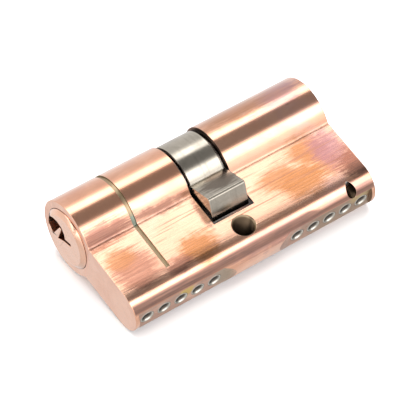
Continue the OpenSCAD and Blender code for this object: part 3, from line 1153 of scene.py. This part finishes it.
class CYLINDER_OT_cam(bpy.types.Operator):
    """Make the cam: a ring between the plugs with a lever on it"""

    bl_idname = "profile_cylinder.make_cam"
    bl_label = "Cam"

    def execute(self, context):
        group = settings().cam
        s = Millimetres(group)
        half = s.ring_width / 2
        ring = paint(prism("cam", circle(s.ring_radius, 120), "Y", -half, half), ("cam_steel",))
        t, reach = s.lever_thickness / 2, s.lever_reach
        root, chamfer = 7.45, 0.4
        outline = [
            (-t, root), (t, root), (t, reach - chamfer), (t - chamfer, reach),
            (-t + chamfer, reach), (-t, reach - chamfer),
        ]
        lever = prism("lever", outline, "Y", -s.lever_width / 2, s.lever_width / 2)
        lever.data.transform(Matrix.Rotation(math.pi - group.lever_angle, 4, "Y"))
        carve(ring, [lever], "UNION")
        ring_bore, wing_reach, wing_half = 6.56, 7.35, 1.35
        bore = prism("bore", circle(ring_bore, 120), "Y", -PAST, PAST)
        wings = block("wings", (-wing_reach, -PAST, -wing_half), (wing_reach, PAST, wing_half))
        carve(ring, [bore, wings])
        round_edges(
            ring, s.edge_round, 3,
            lambda edge: all(math.hypot(v.co.x, v.co.z) > 7.6 for v in edge.verts), 24,
        )
        into_frame(ring, "cam_ring_and_lever", "cam", "cam_steel", "cam")
        return {"FINISHED"}


def make_circlip(side):
    """An open spring ring, a little wider opposite its gap, with rounded ends."""
    low, high = span("front_circlip")
    middle, half = (low.y + high.y) / 2, (high.y - low.y) / 2 - 0.01
    inner, corner = 5.64, 0.07
    first_end, last_end = 36.5, 323.5
    rings = []
    for step in range(-2, 61):
        share_round = min(max(step, 0), 58) / 58
        angle = math.radians(first_end + (last_end - first_end) * share_round)
        squeeze = {-2: 0.45, -1: 0.8, 59: 0.8, 60: 0.45}.get(step, 1)
        angle += math.radians({-2: -0.9, -1: -0.6, 59: 0.6, 60: 0.9}.get(step, 0))
        outer = 7.0 + 0.33 * (0.5 - 0.5 * math.cos(angle))
        mid, wide, thick = (inner + outer) / 2, (outer - inner) / 2 * squeeze, half * squeeze
        section = [
            (mid + wide, thick - corner), (mid + wide - corner, thick), (mid - wide + corner, thick),
            (mid - wide, thick - corner), (mid - wide, corner - thick), (mid - wide + corner, -thick),
            (mid + wide - corner, -thick), (mid + wide, corner - thick),
        ]
        rings.append([(r * math.sin(angle), middle + t, r * math.cos(angle)) for r, t in section])
    clip = paint(skin("clip", rings), ("spring_steel",))
    if side == "rear":
        to_rear(clip)
    into_frame(clip, f"clip_{side}", f"{side}_plug", "spring_steel", f"{side}_circlip")


class CYLINDER_OT_circlips(bpy.types.Operator):
    """Make the two open rings that hold the plugs"""

    bl_idname = "profile_cylinder.make_circlips"
    bl_label = "Circlips"

    def execute(self, context):
        for side in SIDES:
            make_circlip(side)
        return {"FINISHED"}


def coil(name, radius, wire, turns, start, end, upright=None):
    """A coil spring with closed ends, along Z at a place, or along Y on the barrel's axis."""
    steps_a_turn, section_steps = 24, 8
    total = turns * steps_a_turn
    rise = end - start - wire
    closed = wire * 1.05

    def height(turn):
        """Distance along the spring after a number of turns, the end turns lying flat."""
        free = turns - 2
        if turn < 1:
            return closed * turn * turn
        if turn > turns - 1:
            return rise - closed * (turns - turn) ** 2
        return closed + (rise - 2 * closed) * (turn - 1) / free

    rings = []
    for step in range(total + 1):
        turn = step / steps_a_turn
        angle = 2 * math.pi * turn
        t = start + wire / 2 + height(turn)
        ring = []
        for k in range(section_steps):
            around = 2 * math.pi * k / section_steps
            r = radius + wire / 2 * math.cos(around)
            a, b, c = r * math.cos(angle), r * math.sin(angle), t + wire / 2 * math.sin(around)
            ring.append((a, b + upright, c) if upright is not None else (a, c, b))
        rings.append(ring)
    return paint(skin(name, rings), ("spring_steel",))


class CYLINDER_OT_springs(bpy.types.Operator):
    """Make the coil spring under each driver pin"""

    bl_idname = "profile_cylinder.make_springs"
    bl_label = "Pin springs"

    def execute(self, context):
        s = settings().pins
        wire = s.wire / MM
        for side in SIDES:
            for index in range(1, PINS_A_SIDE + 1):
                node = f"pin_spring_{side}_{index}"
                low, high = span(node)
                middle = (low.y + high.y) / 2
                spring = coil("coil", (high.x - low.x - wire) / 2, wire, s.turns, low.z, high.z, middle)
                into_frame(spring, f"coil_{side}_{index}", "cylinder_body", "spring_steel", node, even=False)
                joint = next(j for j in frame["joints"] if j["name"] == f"stack_{side}_{index}_driver")
                travel = max(abs(limit) for limit in joint["range_m"])
                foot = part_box(node)[0].z
                keep = 1 - travel / (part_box(node)[1].z - foot)
                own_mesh(spring)
        return {"FINISHED"}


def make_dog(side):
    """One clutch dog: a disc with two wings for the cam and a tongue for the plug."""
    low, high = span("clutch_front_dog")
    face, back = -1.7, -0.8
    rim, edge, chamfer = 6.3, 6.18, 0.12
    outline = [(edge, face), (rim, face + chamfer), (rim, back - chamfer), (edge, back)]
    dog = paint(turned("dog", outline, "Y", steps=72), ("clutch_steel",))
    wing_half, tongue_half, tongue_reach = 1.25, 1.3, 5.5
    wings = block("wings", (low.x, face, -wing_half), (high.x, back, wing_half))
    tongue = block(
        "tongue", (-tongue_half, low.y, -tongue_reach), (tongue_half, face + 0.2, tongue_reach)
    )
    carve(dog, [wings, tongue], "UNION")
    pocket = 2.75
    carve(dog, [turned("pocket", [(pocket, back - 0.35), (pocket, 1)], "Y", steps=48)])
    round_edges(dog, 0.08, 2, sharper_than=50)
    if side == "rear":
        to_rear(dog)
    into_frame(dog, f"dog_{side}", "clutch", "clutch_steel", f"clutch_{side}_dog")


class CYLINDER_OT_clutch(bpy.types.Operator):
    """Make the two clutch dogs and the spring between them"""

    bl_idname = "profile_cylinder.make_clutch"
    bl_label = "Clutch"

    def execute(self, context):
        for side in SIDES:
            make_dog(side)
        low, high = span("clutch_spring")
        wire, turns = 0.4, 4
        spring = coil("coil", (high.x - low.x - wire) / 2, wire, turns, low.y, high.y)
        into_frame(spring, "clutch_coil", "clutch", "spring_steel", "clutch_spring", even=False)
        return {"FINISHED"}


class CYLINDER_OT_caps(bpy.types.Operator):
    """Make the dished caps that close the chambers"""

    bl_idname = "profile_cylinder.make_caps"
    bl_label = "Chamber caps"

    def execute(self, context):
        for side in SIDES:
            for index in range(1, PINS_A_SIDE + 1):
                node = f"chamber_cap_{side}_{index}"
                low, high = span(node)
                radius, base, top = (high.x - low.x) / 2, low.z, high.z
                outline = [
                    (0.01, base + 0.68), (0.5, base + 0.69), (0.86, base + 0.72), (1.0, base + 0.66),
                    (1.27, base + 0.1), (1.31, base + 0.03), (1.36, base), (radius - 0.1, base),
                    (radius - 0.03, base + 0.03), (radius, base + 0.12), (radius, top - 0.15),
                    (radius - 0.1, top), (0.01, top),
                ]
                cap = paint(turned("cap", outline, "Z", (0, (low.y + high.y) / 2), 40), ("cap_steel",))
                into_frame(cap, f"cap_{side}_{index}", "cylinder_body", "cap_steel", node, smooth_below=50)
        return {"FINISHED"}


def key_pin_outline(radius, low, high, tip):
    """A key pin's lathe outline: rounded foot, body with a fine groove, cone and blunt tip."""
    shoulder = high - 0.9
    return [
        (0.01, low), (radius - 0.34, low), (radius - 0.22, low + 0.05), (radius - 0.06, low + 0.2),
        (radius, low + 0.34), (radius, shoulder - 1.1), (radius - 0.05, shoulder - 1.05),
        (radius - 0.05, shoulder - 0.85), (radius, shoulder - 0.8), (radius, shoulder - 0.08),
        (radius - 0.06, shoulder + 0.04), (tip + 0.08, high - 0.08), (tip - 0.06, high - 0.01),
        (tip - 0.16, high), (0.01, high),
    ]


def driver_pin_outline(radius, low, high):
    """A driver pin's lathe outline: dished seat for the spring, rounded ends and two fine grooves."""
    middle = (low + high) / 2
    grooves = []
    for y in (middle - 0.5, middle + 0.5):
        floor = radius - 0.05
        grooves += [(radius, y - 0.14), (floor, y - 0.09), (floor, y + 0.09), (radius, y + 0.14)]
    return [
        (0.01, low + 0.2), (0.5, low + 0.18), (0.72, low), (radius - 0.34, low), (radius - 0.22, low + 0.05),
        (radius - 0.06, low + 0.2), (radius, low + 0.34), *grooves, (radius, high - 0.34),
        (radius - 0.06, high - 0.2), (radius - 0.22, high - 0.05), (radius - 0.34, high), (0.01, high),
    ]


class CYLINDER_OT_pins(bpy.types.Operator):
    """Make the key pins and the driver pins"""

    bl_idname = "profile_cylinder.make_pins"
    bl_label = "Pins"

    def execute(self, context):
        tip = settings().pins.tip_round / MM
        for side in SIDES:
            for index in range(1, PINS_A_SIDE + 1):
                for kind, finish_name in (("key_pin", "key_pin_brass"), ("driver_pin", "driver_metal")):
                    node = f"{kind}_{side}_{index}"
                    low, high = span(node)
                    radius = (high.x - low.x) / 2
                    if kind == "key_pin":
                        outline = key_pin_outline(radius, low.z, high.z, tip)
                    else:
                        outline = driver_pin_outline(radius, low.z, high.z)
                    pin = turned("pin", outline, "Z", (0, (low.y + high.y) / 2), 40)
                    paint(pin, (finish_name,))
                    into_frame(pin, f"turned_{node}", node, finish_name, node, smooth_below=50)
        return {"FINISHED"}


class CYLINDER_OT_drill_guard(bpy.types.Operator):
    """Make the hardened pin beside the rear chambers"""

    bl_idname = "profile_cylinder.make_drill_guard"
    bl_label = "Anti-drill pin"

    def execute(self, context):
        low, high = span("anti_drill_pin")
        middle, radius = (low + high) / 2, (high.x - low.x) / 2
        outline = [
            (0.01, low.z), (radius - 0.3, low.z), (radius - 0.1, low.z + 0.12), (radius, low.z + 0.35),
            (radius, high.z - 0.3), (radius - 0.2, high.z), (0.01, high.z),
        ]
        pin = paint(turned("guard", outline, "Z", (middle.x, middle.y), 40), ("hard_steel",))
        into_frame(pin, "drill_guard", "cylinder_body", "hard_steel", "anti_drill_pin", smooth_below=50)
        return {"FINISHED"}


# ---------------------------------------------------------------- stage

# Direction of the floor's face: the lock lies on its barrel and on the flange's lower corner.
FLOOR_UP = Vector((0.98376, 0, 0.17949))
# How bright the studio is at each angle round the barrel, from straight above the floor (0)
# towards the barrel's top (positive) and the flange's bottom (negative), in degrees.
STUDIO = (
    (-180, 0.2), (-150, 0.25), (-120, 0.22), (-98, 0.26), (-82, 0.3), (-73, 0.31), (-61, 0.42),
    (-49, 0.5), (-40, 0.85), (-22, 0.95), (-18, 0.55), (-13, 0.16), (-9, 0.082), (25, 0.082),
    (28, 0.28), (30, 0.66), (33, 0.8), (37, 0.86), (47, 0.86), (52, 0.52), (58, 0.31), (64, 0.265),
    (84, 0.26), (120, 0.29), (150, 0.265), (180, 0.2),
)


def make_world(s):
    """Soft strip lights running along the barrel, and plain white behind the object."""
    world = bpy.data.worlds.new("studio")
    bpy.context.scene.world = world
    world.use_nodes = True
    w = Wiring(world.node_tree)
    for node in list(world.node_tree.nodes):
        world.node_tree.nodes.remove(node)
    direction = w.add("ShaderNodeTexCoord").outputs["Generated"]
    parts = w.add("ShaderNodeSeparateXYZ", {0: direction}).outputs
    angle = w.maths("ARCTAN2", parts[2], parts[0])
    place = w.scale_add(angle, 1 / (2 * math.pi), 0.5)
    ramp = w.add("ShaderNodeValToRGB", {0: place})
    stops = ramp.color_ramp.elements
    for degrees, level in STUDIO:
        if degrees in (-180, 180):
            stop = stops[0 if degrees < 0 else -1]
        else:
            stop = stops.new((degrees + 180) / 360)
        stop.color = (level, level * 0.985, level * 0.985, 1)
    strength = w.ramp(parts[1], 0.45, 0.8, s.studio, s.studio * 0.4)
    studio = w.add("ShaderNodeBackground", {0: ramp.outputs[0], 1: strength})
    plain = w.add("ShaderNodeBackground", {0: (1, 1, 1, 1), 1: 1.0})
    seen = w.add("ShaderNodeLightPath").outputs["Is Camera Ray"]
    both = w.add("ShaderNodeMixShader", {0: seen, 1: studio.outputs[0], 2: plain.outputs[0]})
    output = w.add("ShaderNodeOutputWorld")
    world.node_tree.links.new(both.outputs[0], output.inputs[0])


def make_floor(s):
    """A pale floor that is seen from above only and lets the studio's light through from below."""
    rest = -FLOOR_UP * span("housing")[1].z * MM + AXIS
    across = Vector((0, 1, 0))
    other = FLOOR_UP.cross(across)
    size = 0.8
    signs = ((-1, -1), (-1, 1), (1, 1), (1, -1))
    corners = [rest + size * (a * across + b * other) for a, b in signs]
    mesh = bpy.data.meshes.new("floor")
    mesh.from_pydata(corners, [], [(0, 1, 2, 3)])
    if mesh.polygons[0].normal.dot(FLOOR_UP) < 0:
        mesh.flip_normals()
    floor = bpy.data.objects.new("floor", mesh)
    bpy.context.scene.collection.objects.link(floor)
    material = bpy.data.materials.new("pale_floor")
    material.use_nodes = True
    w = Wiring(material.node_tree)
    shader = material.node_tree.nodes["Principled BSDF"]
    grain = w.noise(w.add("ShaderNodeTexCoord").outputs["Object"], 180.0, 3.0)
    tone = w.mix(w.ramp(grain, 0.3, 0.7), rgba(s.floor), rgba([c * 0.985 for c in s.floor]))
    material.node_tree.links.new(tone, shader.inputs["Base Color"])
    shader.inputs["Roughness"].default_value = 0.9
    shader.inputs["Specular IOR Level"].default_value = 0.1
    seen = w.add("ShaderNodeLightPath").outputs["Is Camera Ray"]
    above = w.maths("SUBTRACT", 1.0, w.add("ShaderNodeNewGeometry").outputs["Backfacing"])
    clear = w.add("ShaderNodeBsdfTransparent")
    mix = w.add(
        "ShaderNodeMixShader",
        {0: w.maths("MULTIPLY", seen, above), 1: clear.outputs[0], 2: shader.outputs[0]},
    )
    output = material.node_tree.nodes["Material Output"]
    material.node_tree.links.new(mix.outputs[0], output.inputs[0])
    mesh.materials.append(material)


def make_light(name, place, target, size, power):
    """A soft area light that isn't mirrored in the metal."""
    data = bpy.data.lights.new(name, "AREA")
    data.shape = "RECTANGLE"
    data.size, data.size_y, data.energy = size[0], size[1], power
    light = bpy.data.objects.new(name, data)
    light.location = place
    light.rotation_euler = (target - place).to_track_quat("-Z", "Y").to_euler()
    light.visible_glossy = False
    bpy.context.scene.collection.objects.link(light)


def make_camera(s):
    """The camera, from the front, the flange's side and a little below the flange."""
    data = bpy.data.cameras.new("camera")
    data.lens = s.lens
    data.sensor_width = 36
    data.clip_start, data.clip_end = 0.01, 10
    camera = bpy.data.objects.new("camera", data)
    right = Vector((0.100712, 0.812190, -0.574634))
    up = Vector((0.560764, 0.430751, 0.707105))
    back = Vector((0.821828, -0.393448, -0.412065))
    turn = Matrix((right, up, back)).transposed().to_4x4()
    camera.matrix_world = Matrix.Translation((0.450680, -0.217417, -0.213782)) @ turn
    bpy.context.scene.collection.objects.link(camera)
    bpy.context.scene.camera = camera


class CYLINDER_OT_stage(bpy.types.Operator):
    """Make the floor, the lights and the camera"""

    bl_idname = "profile_cylinder.make_stage"
    bl_label = "Stage"

    def execute(self, context):
        s = settings().stage
        context.scene.view_settings.view_transform = "Standard"
        make_world(s)
        make_floor(s)
        middle = Vector((0, 0, 0.01))
        overhead = middle + FLOOR_UP * 0.45 + Vector((0, 0.12, 0.1))
        make_light("overhead", overhead, middle, (0.45, 0.45), s.key_power)
        make_camera(s)
        return {"FINISHED"}


class CYLINDER_PT_panel(bpy.types.Panel):
    """Buttons that make each piece of the lock"""

    bl_idname = "CYLINDER_PT_panel"
    bl_label = "Lock Cylinder"
    bl_space_type = "VIEW_3D"
    bl_region_type = "UI"
    bl_category = "Lock Cylinder"

    def draw(self, context):
        for operator in OPERATORS:
            self.layout.operator(operator.bl_idname)


OPERATORS = (
    CYLINDER_OT_housing, CYLINDER_OT_plugs, CYLINDER_OT_cam, CYLINDER_OT_circlips, CYLINDER_OT_clutch,
    CYLINDER_OT_caps, CYLINDER_OT_springs, CYLINDER_OT_pins, CYLINDER_OT_drill_guard, CYLINDER_OT_stage,
)
GROUPS = (
    HousingSizes, PlugSizes, CamSizes, PinSizes, Finishes, StageSettings, CylinderSettings,
)


def register():
    """Adds the settings, the operators and the panel."""
    for cls in (*GROUPS, *OPERATORS, CYLINDER_PT_panel):
        bpy.utils.register_class(cls)
    bpy.types.Scene.profile_cylinder = PointerProperty(type=CylinderSettings)


def unregister():
    """Removes them again."""
    del bpy.types.Scene.profile_cylinder
    for cls in reversed((*GROUPS, *OPERATORS, CYLINDER_PT_panel)):
        bpy.utils.unregister_class(cls)


def main():
    """Makes everything."""
    register()
    for operator in OPERATORS:
        group, name = operator.bl_idname.split(".")
        getattr(getattr(bpy.ops, group), name)()
    bpy.context.view_layer.update()


if __name__ == "__main__":
    main()
